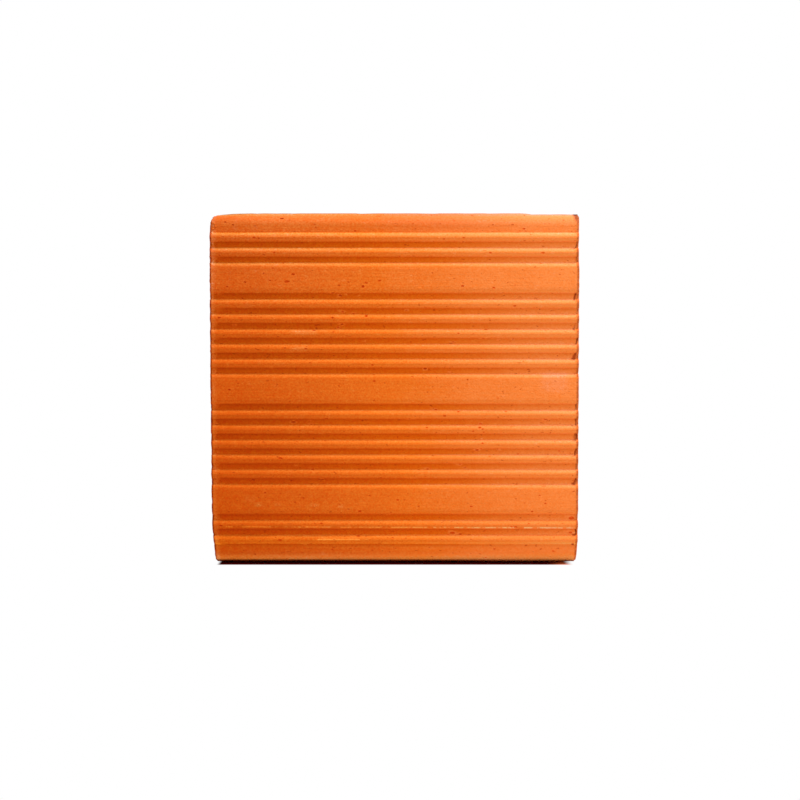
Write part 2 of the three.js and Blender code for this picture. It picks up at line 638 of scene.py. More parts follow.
# %% Shaping the skin
def shaped(tree, skin, sizes):
    """Moves every point of the skin by what the wire, the sag and a knock did to it, and marks it."""
    at = looked_up(tree, sizes)
    lip, left_lip, slit = dragged(tree, at, sizes)
    raised = at.hollow * lip * sizes["Groove Lip"] - slit * sizes["Slit Depth"]
    raised = raised + at.inside * left_lip * sizes["Cell Lip"]
    fin = fins(tree, at.place) * sizes["Wave"] * 0.9
    outwards = raised - rim_sink(tree, at, sizes) - sagged(tree, at, sizes) + fin
    moved = vector_math("ADD", vector_math("SCALE", at.way_out, outwards), corner_wear(tree, at.place))
    moved = vector_math("ADD", moved, join_xyz(tree, cut_shift(tree, at, sizes), 0.0, 0.0))
    rim_width = 1.5 * MM + at.on_right * (0.7 * MM)
    marks = {
        "hollow": at.hollow * (1 - lip),
        "slit": slit,
        "rim": at.from_end.fade(rim_width, rim_width * 0.4),
        "left_end": at.from_end.fade(5 * MM, 1.2 * MM) * (1 - at.on_right),
        "lip": lip * at.hollow * (1 - at.on_right),
    }
    for name, value in marks.items():
        skin = store(tree, skin, name, value)
    return moved_by(tree, skin, moved)


print("the wire works on every point")

# %% [markdown]
# ## The tree that presses and cuts
# One tree takes the die and a core and gives the finished brick, with a socket for each size. The two end
# faces are the filled section. Two loose caps laid over the ends would leave slits, so every point of a cap
# goes where the skin's point beside it went, and the two are merged.

# %% Caps over the ends
def flattened(tree, curves):
    """Turns a section that stands across X into one that lies in the XY plane, where Fill Curve works."""
    _, y, z = split(add(tree, "GeometryNodeInputPosition"))
    return moved_to(tree, curves, join_xyz(tree, y, z, 0.0))


def cap(tree, section, x):
    """The filled section, stood up again at x. It faces +X."""
    filled = add(tree, "GeometryNodeFillCurve", {"Curve": section}, mode="TRIANGLES")
    across, up, _ = split(add(tree, "GeometryNodeInputPosition"))
    return moved_to(tree, filled, join_xyz(tree, x, across, up))


def following(tree, piece, before, after):
    """Moves each point of a piece as the nearest point of the skin moved."""
    nearest = add(tree, "GeometryNodeSampleNearest", {"Geometry": before}, domain="POINT")
    inputs = {"Geometry": after, "Value": add(tree, "GeometryNodeInputPosition"), "Index": nearest}
    return moved_to(tree, piece, add(tree, "GeometryNodeSampleIndex", inputs, data_type="FLOAT_VECTOR"))


print("caps close the ends")

# %% Inputs of the tree
press, sizes = new_tree("press_and_cut", "GeometryNodeTree", [
    ("Die", "Geometry", None),
    ("Core", "Object", None),
    ("Core Columns", "Int", core_columns),
    ("Core Rows", "Int", core_rows),
    ("Column Pitch", "Float", core_width + web_wall),
    ("Row Pitch", "Float", core_height + web_wall),
    ("Length", "Float", length),
    ("Height", "Float", height),
    ("Skin Rows", "Int", 96),
    ("Core Rows Along", "Int", 14),
    ("Rim Radius", "Float", 0.7 * MM),
    ("Lip Reach", "Float", 3.2 * MM),
    ("Groove Lip", "Float", 1.9 * MM),
    ("Slit Depth", "Float", 0.6 * MM),
    ("Cell Lip", "Float", 0.7 * MM),
    ("Wave", "Float", 0.4 * MM),
    ("Ragged", "Float", 0.55 * MM),
    ("Skin", "Material", None),
    ("Cut", "Material", None),
])
print("press_and_cut takes", len(sizes), "inputs")

# %% Cells and skin
core_ring = add(press, "GeometryNodeObjectInfo", {"Object": sizes["Core"]}, "Geometry")
grid = add(press, "GeometryNodeMeshGrid", {
    "Size X": (sizes["Core Columns"] - 1) * sizes["Column Pitch"],
    "Size Y": (sizes["Core Rows"] - 1) * sizes["Row Pitch"],
    "Vertices X": sizes["Core Columns"],
    "Vertices Y": sizes["Core Rows"],
})
column, row, _ = split(add(press, "GeometryNodeInputPosition"))
cell_middles = moved_to(press, grid, join_xyz(press, 0.0, column, row + sizes["Height"] / 2))


def at_cells(instance):
    """One copy in every cell, as real geometry."""
    copies = {"Points": cell_middles, "Instance": instance}
    placed = add(press, "GeometryNodeInstanceOnPoints", copies)
    return add(press, "GeometryNodeRealizeInstances", {"Geometry": placed})


cells = at_cells(stretched(press, core_ring, sizes["Core Rows Along"], sizes["Length"]))
cells = store(press, cells, "inside", 1.0)
outer = stretched(press, sizes["Die"], sizes["Skin Rows"], sizes["Length"])
skin = add(press, "GeometryNodeJoinGeometry", {"Geometry": [cells, outer]})
pressed = shaped(press, skin, sizes)
print("cells:", core_columns * core_rows)

# %% Ends and materials
section = [add(press, "GeometryNodeMeshToCurve", {"Mesh": sizes["Die"]})]
section.append(at_cells(add(press, "GeometryNodeMeshToCurve", {"Mesh": core_ring})))
section = flattened(press, add(press, "GeometryNodeJoinGeometry", {"Geometry": section}))
right_cap = cap(press, section, sizes["Length"] / 2)
left_cap = add(press, "GeometryNodeFlipFaces", {"Mesh": cap(press, section, sizes["Length"] / -2)})
caps = add(press, "GeometryNodeJoinGeometry", {"Geometry": [left_cap, right_cap]})
caps = following(press, caps, skin, pressed)
caps = store(press, caps, "cut", 1.0, domain="FACE")

whole = add(press, "GeometryNodeJoinGeometry", {"Geometry": [pressed, caps]})
whole = add(press, "GeometryNodeMergeByDistance", {"Geometry": whole, "Distance": 0.001 * MM})
for mark in ("pit", "crumb"):
    whole = store(press, whole, mark, 0.0)
whole = add(press, "GeometryNodeRealizeInstances", {"Geometry": whole})
whole = add(press, "GeometryNodeSetMaterial", {"Geometry": whole, "Material": sizes["Skin"]})
on_cut = stored(press, "cut").math("GREATER_THAN", 0.5)
torn_ends = {"Geometry": whole, "Selection": on_cut, "Material": sizes["Cut"]}
finish_tree(press, {"Brick": ("Geometry", add(press, "GeometryNodeSetMaterial", torn_ends))})

# %% [markdown]
# ## Fired clay
# Iron in the clay turns orange in the kiln. The colour is never even: it is mottled at the size of a thumb
# and speckled by grit, and it is painted deeper towards the left and the bottom, as shade away from the lamp.
# A painted picture could hold that, but it would blur close by. The skin that slid along the steel die and
# the torn face that the wire left are the same clay, so both materials share their colour and grain as node
# groups.

# %% Colour helpers
def mixed(tree, share, first, second, blend="MIX"):
    """Mixes two colours by a share from 0 to 1."""
    inputs = {"Factor": share, "A": first, "B": second}
    return add(tree, "ShaderNodeMix", inputs, "Result", data_type="RGBA", blend_type=blend)


def tinted(base, share, tint):
    """The colour multiplied by a tint where the share is 1. The tint is a Flow, or red, green and blue."""
    factors = (*tint, 1) if isinstance(tint, tuple) else tint
    whole = mixed(base.tree, 1.0, base, factors, "MULTIPLY")
    return mixed(base.tree, share, base, whole)


def in_group(tree, group, inputs, output):
    """Places a shader group and returns one of its outputs."""
    made = tree.nodes.new("ShaderNodeGroup")
    made.node_tree = group
    for name, value in inputs.items():
        plug(tree, made.inputs[name], value)
    return Flow(tree, made.outputs[output])


print("a tint multiplies the clay under it")

# %% Clay colour
DEEP_CLAY = (0.64, 0.085, 0.002, 1)
MIDDLE_CLAY = (0.85, 0.163, 0.0105, 1)
PALE_CLAY = (1.0, 0.260, 0.052, 1)
DARK_SPECK = (0.94, 0.66, 0.15, 1)
PALE_SPECK = (1.04, 1.34, 2.1, 1)
GRIT = (0.72, 0.5, 0.35)
FLECK = (1.05, 1.3, 2.2)

clay_colour, into = new_tree("clay_colour", "ShaderNodeTree", [
    ("Place", "Vector", None),
    ("Deep", "Color", DEEP_CLAY),
    ("Middle", "Color", MIDDLE_CLAY),
    ("Pale", "Color", PALE_CLAY),
    ("Mottling", "Float", 0.17),
    ("Speckle", "Float", 0.7),
    ("Flecks", "Float", 0.7),
])
place = into["Place"]
across, _, up = split(place)
# Painted shade: the clay gets deeper towards the left and the bottom, away from the lamp.
painted_falloff = (across / (length / 2)).fade(-1.4, 1.4) + (up / height - 0.5) * 0.2
cloud = noise(clay_colour, place, 25 * MM, 3.0) + noise(clay_colour, place, 3 * MM, 2.0) - 1.0
drawn = noise(clay_colour, place, 1.2 * MM, 2.0, stretch=(40, 1, 1)) - 0.5
share = painted_falloff + (cloud + drawn) * into["Mottling"]
base = mixed(clay_colour, share.fade(0.0, 0.5, way="LINEAR"), into["Deep"], into["Middle"])
base = mixed(clay_colour, share.fade(0.5, 1.0, way="LINEAR"), base, into["Pale"])
speckle = noise(clay_colour, place, 1.1 * MM, 3.0, 0.7).fade(0.3, 0.7, way="LINEAR")
base = tinted(base, into["Speckle"], mixed(clay_colour, speckle, DARK_SPECK, PALE_SPECK))
base = tinted(base, noise(clay_colour, place, 1.5 * MM, 1.0, stretch=(2, 1, 1)).fade(0.68, 0.78), GRIT)
fleck = noise(clay_colour, place, 1.7 * MM, 2.0, stretch=(2.5, 1, 1)).fade(0.62, 0.74)
base = tinted(base, fleck * into["Flecks"], FLECK)
finish_tree(clay_colour, {"Color": ("Color", base)})

# %% Clay grain
clay_grain, into = new_tree("clay_grain", "ShaderNodeTree", [
    ("Place", "Vector", None),
    ("Grain Size", "Float", 0.9 * MM),
])
fine = noise(clay_grain, into["Place"], into["Grain Size"], 3.0, 0.6)
lumps = noise(clay_grain, into["Place"], 5 * MM, 2.0)
drawn = noise(clay_grain, into["Place"], 0.8 * MM, 2.0, stretch=(30, 1, 1))
finish_tree(clay_grain, {"Height": ("Float", fine * 0.6 + lumps * 0.3 + drawn * 0.3)})

# %% A clay material
def new_clay(name):
    """A material, its node tree, and the place on the brick that its patterns follow."""
    clay = bpy.data.materials.new(name)
    clay.use_nodes = True
    return clay, clay.node_tree, add(clay.node_tree, "ShaderNodeTexCoord", output="Object")


def finish_clay(clay, colour, relief, depth, strength, roughness, gloss):
    """Gives the clay's shader its colour, a bump of that depth and strength, its roughness and its gloss."""
    tree = clay.node_tree
    shader = tree.nodes["Principled BSDF"]
    plug(tree, shader.inputs["Base Color"], colour)
    bump = {"Height": relief, "Distance": depth, "Strength": strength}
    plug(tree, shader.inputs["Normal"], add(tree, "ShaderNodeBump", bump))
    shader.inputs["Roughness"].default_value = roughness
    shader.inputs["Specular IOR Level"].default_value = gloss
    print(clay.name, "has", len(tree.nodes), "nodes")


print("both clays are finished by one function")

# %% [markdown]
# ## The skin
# The grooves are painted a deeper red as shade, and every ledge that faces up is painted paler, as dust and
# as highlight. The rims of the cuts are painted dark as shade, and a few scuffs show paler clay. Each of
# these could be a layer with a colour of its own, but that would hide the grain. So each is a tint that
# multiplies the clay colour by a share, and the finish is a list of tints.

# %% Clay under the finish
skin_clay, skin_tree, place = new_clay("fired_clay_skin")
x, y, up = split(place)
_, _, facing_up = split(add(skin_tree, "ShaderNodeTexCoord", output="Normal"))


def carried(name):
    """A value that the geometry tree left on the mesh."""
    return add(skin_tree, "ShaderNodeAttribute", output="Fac", attribute_name=name)


hollow, rim = carried("hollow"), carried("rim")
to_left, to_right = x.fade(30 * MM, -100 * MM), x.fade(20 * MM, 110 * MM)
high_up, low_down = up.fade(150 * MM, 225 * MM), up.fade(60 * MM, 30 * MM)
patchy = noise(skin_tree, place, 2.5 * MM, 3.0, 0.7).fade(0.35, 0.6)
coarse = x.fade(-70 * MM, 90 * MM, 1.0, 0.45)
base = in_group(skin_tree, clay_colour, {"Place": place, "Speckle": coarse, "Flecks": coarse}, "Color")
# On the left and the right, the tints below differ in painted shade, painted highlight, dust and speckle.
print("left and right differ in dust, speckle and scouring")

# %% Painted shade and light in the grooves
# Tints are factors for red, green and blue. Over 1 they make the clay paler.
GROOVE_SHADE = (0.92, 0.70, 0.15)
GROOVE_SHADE_LEFT = (0.92, 0.98, 0.6)
LOW_LEFT = (1.0, 1.03, 1.0)
UPPER_FLANK_SHADE = (0.9, 0.86, 0.6)
LOWER_FLANK_HIGHLIGHT = (1.04, 1.2, 1.5)

ledge = facing_up.fade(0.15, 0.6) * hollow.fade(0.0, 0.1)
shaded = hollow.fade(0.2, 1.0) * (1 - ledge)
# Painted shade: the grooves are tinted a deeper red, less on the right and more on the left and higher up
# there.
base = tinted(base, shaded * (1 - to_right * 0.75), GROOVE_SHADE)
base = tinted(base, shaded * to_left * up.fade(20 * MM, 120 * MM), GROOVE_SHADE_LEFT)
base = tinted(base, to_left * low_down, LOW_LEFT)
# On the front and the back, this runs from -1 at a groove's lower lip to 1 at its upper one.
in_groove = carried("across") * y.math("SIGN")
deep_in = hollow.fade(0.6, 1.0)
# Painted shade at the top of each groove under the rib above, and a painted highlight at its bottom, where
# the lower flank rises into the light.
base = tinted(base, in_groove.fade(-0.1, 0.5) * deep_in, UPPER_FLANK_SHADE)
base = tinted(base, in_groove.fade(0.1, -0.35) * deep_in, LOWER_FLANK_HIGHLIGHT)
print("grooves are scoured, more to the left")

# %% Dust and painted light on ledges and bellies
SOFT_HIGHLIGHT = (1.03, 1.25, 1.5)
BELLY_BOUNCE = (1.08, 1.1, 0.95)
DUST_AND_HIGHLIGHT = (1.0, 1.9, 4.6)
DUSTY_HAZE = (1.0, 1.05, 1.9)

outer_ledge = (facing_up.fade(0.0, 0.2) - ledge).above_zero() * hollow.fade(0.0, 0.1)
# Painted highlight on the ledges that face up beside the grooves, on the right and near the top.
soft_highlights = (to_right * (1 - low_down * 0.8)).math("MAXIMUM", up.fade(198 * MM, 208 * MM))
base = tinted(base, outer_ledge * soft_highlights, SOFT_HIGHLIGHT)
# Painted light from the floor: clay that faces down outside the deep grooves is paler.
base = tinted(base, facing_up.fade(-0.1, -0.5) * (1 - hollow.fade(0.2, 0.5)), BELLY_BOUNCE)
# Dust and painted highlight: the ledges that face up in the grooves are paler, as dust and as lit clay.
dust_and_highlight = ledge * (0.24 + to_left * 0.08 + to_left * high_up * 0.5 - to_right * low_down * 0.2)
base = tinted(base, dust_and_highlight, DUST_AND_HIGHLIGHT)
base = tinted(base, high_up * to_left * (1 - hollow), DUSTY_HAZE)
print("dust lies on what faces up")

# %% The foot
# Near the floor the clay that faces down and the round edge are painted paler, as light from the floor. The
# lowest rib is pale, and painted shade darkens the thin crease under it and the clay just above the floor.
FOOT_BOUNCE = (1.5, 2.6, 6.0)
LOWEST_RIB = (1.15, 1.35, 1.4)
RIB_LINE = (1.16, 1.5, 1.8)
FOOT_STRIP = (1.06, 1.02, 1.0)
FOOT_ARC_BOUNCE = (0.98, 1.05, 1.5)
FOOT_ARC_BOUNCE_LEFT = (0.98, 1.05, 1.6)
UNDER_EDGE_SHADE = (0.5, 0.3, 0.2)
CREASE_LINE_SHADE = (0.88, 0.8, 0.6)

underside = up.fade(8 * MM, 2 * MM) * facing_up.fade(0.0, -0.4)
# Painted light from the floor on the clay that faces down near it.
base = tinted(base, underside * (0.5 + to_left * 0.5 - to_right * 0.25), FOOT_BOUNCE)
rib_height = edge_strip + 1.9 * MM
lowest_rib = up.within(rib_height, 2 * MM, 4.5 * MM) * (1 - hollow)
base = tinted(base, lowest_rib * (0.2 + to_left * 0.8), LOWEST_RIB)
base = tinted(base, up.within(edge_strip + 0.6 * MM, 0.4 * MM, 1.1 * MM), RIB_LINE)
base = tinted(base, up.fade(edge_strip - 1.1 * MM, edge_strip - 3.1 * MM), FOOT_STRIP)
foot_arc = up.fade(10 * MM, 6 * MM)
# Painted light from the floor on the round edge.
base = tinted(base, foot_arc * (1 - to_right), FOOT_ARC_BOUNCE)
base = tinted(base, foot_arc * to_left, FOOT_ARC_BOUNCE_LEFT)
# Painted shade on the clay within about 3 mm of the floor.
base = tinted(base, up.fade(3.2 * MM, 2.2 * MM) * (1 - to_right), UNDER_EDGE_SHADE)
crease = up.within(edge_strip - 0.7 * MM, 0.3 * MM, 1.2 * MM)
# Painted shade in the crease under the lowest rib.
base = tinted(base, crease * (1 - to_right * 0.5), CREASE_LINE_SHADE)
print("the lowest rib is palest", round(rib_height / MM, 1), "mm up")

# %% The head
# The strip under the top edge is darker and the round edge less red. The front crests of the top ribs, which
# the lamp lights strongly, are painted darker as shade, and chalk lies on the left.
HEAD_STRIP = (0.93, 0.78, 0.8)
HEAD_EDGE = (0.93, 1.0, 1.0)
HEAD_ARC = (0.93, 1.0, 1.45)
CREST_SHADE = (0.55, 0.6, 0.7)
CHALK = (1.0, 1.15, 2.4)

head_strip = up.fade(height - 16 * MM, height - 9 * MM)
base = tinted(base, head_strip * (1 - to_left) * (1 - to_right * 0.5), HEAD_STRIP)
base = tinted(base, up.fade(height - 14 * MM, height - 8 * MM), HEAD_EDGE)
base = tinted(base, up.fade(height - 10 * MM, height - 6 * MM) * (1 - to_right * 0.3), HEAD_ARC)
top_ribs = facing_up.fade(0.75, 1.0) * up.fade(height - 2 * MM, height - 1 * MM)
# Painted shade on the front crests of the top ribs.
base = tinted(base, top_ribs * y.fade(-36 * MM, -42 * MM), CREST_SHADE)
chalk = noise(skin_tree, place, 6 * MM, 3.0, 0.7).fade(0.55, 0.72) * to_left
base = tinted(base, chalk * (1 - hollow) * 0.6, CHALK)
print("the head is darker and dustier than the middle")

# %% Rims, tears, pits and crumbs
# Fins and crumbs are dry and pale. The left end and its lips are painted paler, as highlight where they
# catch the light. Slits are painted dark as shade, pits are darker partly as painted shade and partly as
# deeper clay, and the rims and the upper right corner, which the lamp lights strongly, are painted dark as
# shade.
FIN = (1.35, 2.4, 6.0)
SLIT_SHADE = (0.55, 0.34, 0.22)
LEFT_END_HIGHLIGHT = (1.12, 1.6, 4.6)
LIP_HIGHLIGHT = (1.1, 1.3, 2.0)
PIT_SHADE_AND_CLAY = (0.9, 0.6, 0.3)
CRUMB = (1.1, 1.3, 1.8)
RIM_SHADE = (0.42, 0.28, 0.25)
CORNER_SHADE = (0.5, 0.5, 0.6)

base = tinted(base, fins(skin_tree, place) * (0.7 + x.within(71 * MM, 25 * MM, 40 * MM) * 0.3), FIN)
# Painted shade in the torn slits.
base = tinted(base, carried("slit").fade(0.0, 0.9), SLIT_SHADE)
# Painted highlight on the left end and on its lips.
base = tinted(base, carried("left_end") * (1 - rim) * (patchy * 0.5 + 0.5), LEFT_END_HIGHLIGHT)
base = tinted(base, carried("lip").fade(0.1, 0.8) * (1 - rim), LIP_HIGHLIGHT)
# Pits are darker inside, partly as painted shade and partly as deeper clay.
base = tinted(base, carried("pit").fade(0.2, 0.8), PIT_SHADE_AND_CLAY)
base = tinted(base, carried("crumb").fade(0.2, 0.8), CRUMB)
# Painted shade on the rims and on the upper right corner.
shaded_rim = rim * (patchy * 0.5 + 0.5) * (1 - x.fade(-100 * MM, 100 * MM) * 0.15)
right_corner = x.fade(120.5 * MM, 123.5 * MM) * up.fade(231 * MM, 235 * MM) * (patchy * 0.4 + 0.6)
base = tinted(base, shaded_rim.math("MAXIMUM", right_corner), RIM_SHADE)
base = tinted(base, right_corner * up.fade(233 * MM, 236 * MM), CORNER_SHADE)
# The dark rims are painted shade.
print("the rims are burnt dark")

# %% Scuffs
# Pale scuffs on the front as (X, height, half length, half height) in millimetres, and how strong they are.
SCUFFS = [
    (-61.2, 157.9, 11, 1.9, 0.9), (-64.5, 146.8, 8, 2.2, 0.8), (108.5, 124.5, 12, 9, 0.3),
    (-92.5, 41.2, 4, 2, 1), (-54.4, 40.6, 4, 1.5, 0.8), (-79.5, 41.2, 3, 2, 0.5), (-36.0, 40.0, 3, 2, 0.5),
    (-98.0, 45.0, 5, 3, 0.35),
]
SCUFFED = (1.04, 1.45, 3.6)
# The inner part of a scuff that is at full strength, as a share of its size.
SCUFF_CORE = 0.4

scuffs = []
for scuff_x, scuff_up, half_length, half_height, strength in SCUFFS:
    along = x.within(scuff_x * MM, half_length * SCUFF_CORE * MM, half_length * MM)
    upwards = up.within(scuff_up * MM, half_height * SCUFF_CORE * MM, half_height * MM)
    scuffs.append(along * upwards * strength)
on_front = y.fade(-50 * MM, -56 * MM)
base = tinted(base, highest(scuffs) * (patchy * 0.4 + 0.6) * on_front, SCUFFED)
print("scuffs:", len(SCUFFS))

# %% The finished skin
# Tints may add up to more light than falls on the clay, so the colour stops at white.
base = vector_math("MINIMUM", base, (1, 1, 1))
grain = in_group(skin_tree, clay_grain, {"Place": place}, "Height")
finish_clay(skin_clay, base, grain, depth=0.5 * MM, strength=0.9, roughness=0.9, gloss=0.06)

# %% [markdown]
# ## The cut face
# The wire tears the clay instead of smoothing it, so the ends are rougher and drier than the skin, with fine
# marks where it dragged grit along. Modelled marks would cost many faces and hardly show, so they are bump.

# %% Wire-cut clay
DRAG_MARKS = (0.9, 0.85, 0.75)
cut_clay, cut_tree, place = new_clay("fired_clay_cut")
base = in_group(cut_tree, clay_colour, {"Place": place, "Mottling": 0.3}, "Color")
drag = noise(cut_tree, place, 0.9 * MM, 3.0, 0.6, stretch=(1, 1, 40))
base = tinted(base, drag.fade(0.35, 0.65), DRAG_MARKS)
torn = in_group(cut_tree, clay_grain, {"Place": place, "Grain Size": 1.2 * MM}, "Height")
finish_clay(cut_clay, base, torn + drag * 0.5, depth=1.0 * MM, strength=0.8, roughness=0.95, gloss=0.2)

# %% [markdown]
# ## Pits and crumbs
# Sand grains and lime catch on the die and tear small pits out of the skin, and some of the torn crumbs stick
# again. They could be sculpted, but there are hundreds. A tree scatters points over the outside instead and
# puts a lumpy blob on each. One boolean cuts the pits out of the clay, and another adds the crumbs. The most
# prominent ones are listed one by one.

# %% Pits and crumbs listed one by one
# Pits and crumbs on the front as (X, height, size) in millimetres.
PITS = [
    (-68.4, 197.3, 1.5), (-81.1, 212.0, 1.0), (-94.6, 222.0, 1.3), (-91.5, 221.6, 0.9), (-114.2, 232.5, 1.0),
    (-109.0, 230.6, 1.0), (67.2, 188.2, 1.2), (46.1, 189.4, 1.3), (87.5, 228.0, 1.1), (46.7, 222.0, 1.0),
    (33.5, 221.0, 1.0), (114.4, 233.8, 0.8), (-87.8, 49.2, 0.9), (-61.8, 45.5, 1.0), (-49.7, 28.2, 1.0),
    (-77.8, 16.8, 1.5), (-61.2, 13.8, 0.9), (82.4, 25.6, 1.6), (79.6, 25.8, 1.0), (52.2, 39.8, 1.1),
    (102.6, 41.9, 1.0), (98.7, 47.4, 0.9), (93.6, 36.3, 1.1), (68.2, 10.5, 0.9), (58.5, 96.0, 1.1),
    (59.9, 92.5, 0.9), (120.6, 31.6, 2.3), (119.9, 21.8, 1.4), (57.9, 93.6, 1.2), (60.6, 90.4, 0.8),
    (-101, 192, 1.1), (-113, 189, 1.0), (-84, 193, 0.9), (-82, 201.5, 0.9), (-26.5, 226.5, 1.1),
    (-10, 193, 1.2), (-19, 191.5, 1.2), (-31, 192, 0.9), (3.5, 209.5, 0.9), (-35, 172, 1.0),
    (-19, 169, 1.2), (-118.5, 168, 1.3), (8, 173, 0.9), (-38, 161.5, 1.0), (-74, 147.5, 0.9),
    (-60, 147, 1.1), (-94, 147, 0.8), (-15, 136, 1.1), (-100, 134, 0.9), (-108.5, 163, 0.9),
    (49.5, 126, 0.8), (28, 105.5, 1.1), (34, 101.5, 1.3), (102.5, 99, 1.2), (53.5, 91, 1.0),
    (22, 93.5, 0.9), (39.5, 79, 1.0), (59, 79, 1.1), (112, 77.5, 1.0), (84, 75.5, 0.8),
    (44.5, 68.5, 0.9), (22.5, 65, 1.1), (48, 66, 0.8),
]
CRUMBS = [
    (122.2, 21.5, 1.3), (-92.3, 41.3, 0.9), (-78.8, 41.3, 0.8), (-54.4, 39.9, 0.8), (30.2, 221.8, 0.8),
    (-121.8, 231.5, 1.2), (-120.8, 229.5, 1.0), (-122.4, 228.0, 1.0),
]


def spots(name, places):
    """Loose points before the front that carry the radius of their blob."""
    mesh = bpy.data.meshes.new(name)
    mesh.from_pydata([(x * MM, -thickness / 2 - 1 * MM, up * MM) for x, up, _ in places], [], [])
    radii = [size * MM / 2 for _, _, size in places]
    mesh.attributes.new("blob_radius", "FLOAT", "POINT").data.foreach_set("value", radii)
    return new_object(name, mesh)


pit_spots, crumb_spots = spots("pit_spots", PITS), spots("crumb_spots", CRUMBS)
print("placed by hand:", len(PITS), "pits and", len(CRUMBS), "crumbs")

# %% Points for the blobs
blobs, given = new_tree("scattered_blobs", "GeometryNodeTree", [
    ("Brick", "Geometry", None),
    ("Spots", "Object", None),
    ("Blobs per m2", "Float", 1000.0),
    ("Smallest", "Float", 0.25 * MM),
    ("Largest", "Float", 0.8 * MM),
    ("Sunk", "Float", 0.0),
    ("Lumpiness", "Float", 0.15),
    ("Mark", "String", "pit"),
    ("Seed", "Int", 7),
    ("Clay", "Material", None),
])

# Blobs come in swarms, because grit lies in the clay in pockets.
swarm = noise(blobs, add(blobs, "GeometryNodeInputPosition"), 20 * MM, 2.0).fade(0.4, 0.7, 0.4, 2.2)
# None of them lies in a cell or on a cut.
outside = (1 - stored(blobs, "inside")) * (1 - stored(blobs, "cut"))
spread = blobs.nodes.new("GeometryNodeDistributePointsOnFaces")
plug(blobs, spread.inputs["Mesh"], given["Brick"])
plug(blobs, spread.inputs["Density"], given["Blobs per m2"] * swarm * outside)
plug(blobs, spread.inputs["Seed"], given["Seed"])
points, normal = (Flow(blobs, spread.outputs[name]) for name in ("Points", "Normal"))
share = add(blobs, "FunctionNodeRandomValue", {"Min": 0.0, "Max": 1.0, "Seed": given["Seed"]}, "Value")
radius = given["Smallest"] + (given["Largest"] - given["Smallest"]) * share * share * share
points = store(blobs, points, "blob_radius", radius)
points = moved_by(blobs, points, vector_math("SCALE", normal, radius * given["Sunk"] * -1.0))

# The listed points stand before the front, and a ray takes each one to the clay.
by_hand = add(blobs, "GeometryNodeObjectInfo", {"Object": given["Spots"]}, "Geometry")
by_hand = add(blobs, "GeometryNodeMeshToPoints", {"Mesh": by_hand})
ray = {"Target Geometry": given["Brick"], "Ray Direction": (0, 1, 0), "Ray Length": 10 * MM}
by_hand = moved_to(blobs, by_hand, add(blobs, "GeometryNodeRaycast", ray, "Hit Position"))
points = add(blobs, "GeometryNodeJoinGeometry", {"Geometry": [points, by_hand]})
print("most blobs are small, because the random share is cubed")

# %% Lumpy balls
# An ico sphere of two subdivisions has this many faces.
BALL_FACES = 80
ball = add(blobs, "GeometryNodeMeshIcoSphere", {"Radius": 1.0, "Subdivisions": 2}, "Mesh")
drawn = add(blobs, "FunctionNodeRandomValue", {"Min": 1.1, "Max": 2.4, "Seed": 5}, "Value")
radius = stored(blobs, "blob_radius")
copies = {"Points": points, "Instance": ball, "Scale": join_xyz(blobs, radius * drawn, radius, radius)}
lumps = add(blobs, "GeometryNodeInstanceOnPoints", copies)
lumps = add(blobs, "GeometryNodeRealizeInstances", {"Geometry": lumps})
inputs = {"Vector": add(blobs, "GeometryNodeInputPosition"), "Scale": 1 / (0.7 * MM), "Detail": 1.0}
wobble = vector_math("SUBTRACT", add(blobs, "ShaderNodeTexNoise", inputs, "Color"), (0.5, 0.5, 0.5))
# The noise strays about a quarter from its middle, so it counts four times.
lumpiness = stored(blobs, "blob_radius") * given["Lumpiness"] * 4.0
lumps = moved_by(blobs, lumps, vector_math("SCALE", wobble, lumpiness))
lumps = store(blobs, lumps, given["Mark"], 1.0)
lumps = add(blobs, "GeometryNodeRealizeInstances", {"Geometry": lumps})
lumps = add(blobs, "GeometryNodeSetMaterial", {"Geometry": lumps, "Material": given["Clay"]})
finish_tree(blobs, {"Blobs": ("Geometry", lumps)})

# %% [markdown]
# ## Baking the brick
# Each evaluated tree is kept as a plain mesh, so the finished piece carries no modifier. The manifold solver
# wants closed meshes, which the pressed brick and the blobs are, and it is fast enough for hundreds of them.
# The exact solver would take far longer for the same holes.

# %% Baking and carving
def baked(piece, name):
    """A new object that holds the piece as its modifiers leave it."""
    bpy.context.view_layer.update()
    evaluated = piece.evaluated_get(bpy.context.evaluated_depsgraph_get())
    return new_object(name, bpy.data.meshes.new_from_object(evaluated))


def worked(piece, operation, placed_by_hand, settings):
    """The piece with scattered blobs cut out of it or added to it."""
    carrier = new_object("carrier", piece.data)
    use_tree(carrier, blobs, {"Spots": placed_by_hand, "Clay": skin_clay, **settings})
    tool = baked(carrier, "tool")
    boolean = piece.modifiers.new("carve", "BOOLEAN")
    boolean.operation = operation
    boolean.solver = "MANIFOLD"
    boolean.object = tool
    made = baked(piece, piece.name)
    print(operation.lower(), "of", len(tool.data.polygons) // BALL_FACES, "blobs")
    for used in (carrier, tool, placed_by_hand, piece):
        bpy.data.objects.remove(used)
    return made


print("pieces are baked before they are carved")

# %% The brick
use_tree(die, press, {"Core": core, "Skin": skin_clay, "Cut": cut_clay})
brick = baked(die, "fired_brick")
pits = {"Blobs per m2": 1500.0, "Smallest": 0.32 * MM, "Largest": 1.0 * MM, "Sunk": -0.1}
crumbs = {"Blobs per m2": 600.0, "Smallest": 0.22 * MM, "Largest": 0.5 * MM, "Sunk": 0.5, "Mark": "crumb"}
brick = worked(brick, "DIFFERENCE", pit_spots, pits)
brick = worked(brick, "UNION", crumb_spots, {**crumbs, "Seed": 8})
for tool in (die, core):
    bpy.data.objects.remove(tool)
print("the brick is carved")

# %% The brick's mesh
brick_mesh = brick.data
# The die had no material, and its empty slot is still the first one.
brick_mesh.materials.pop(index=0)
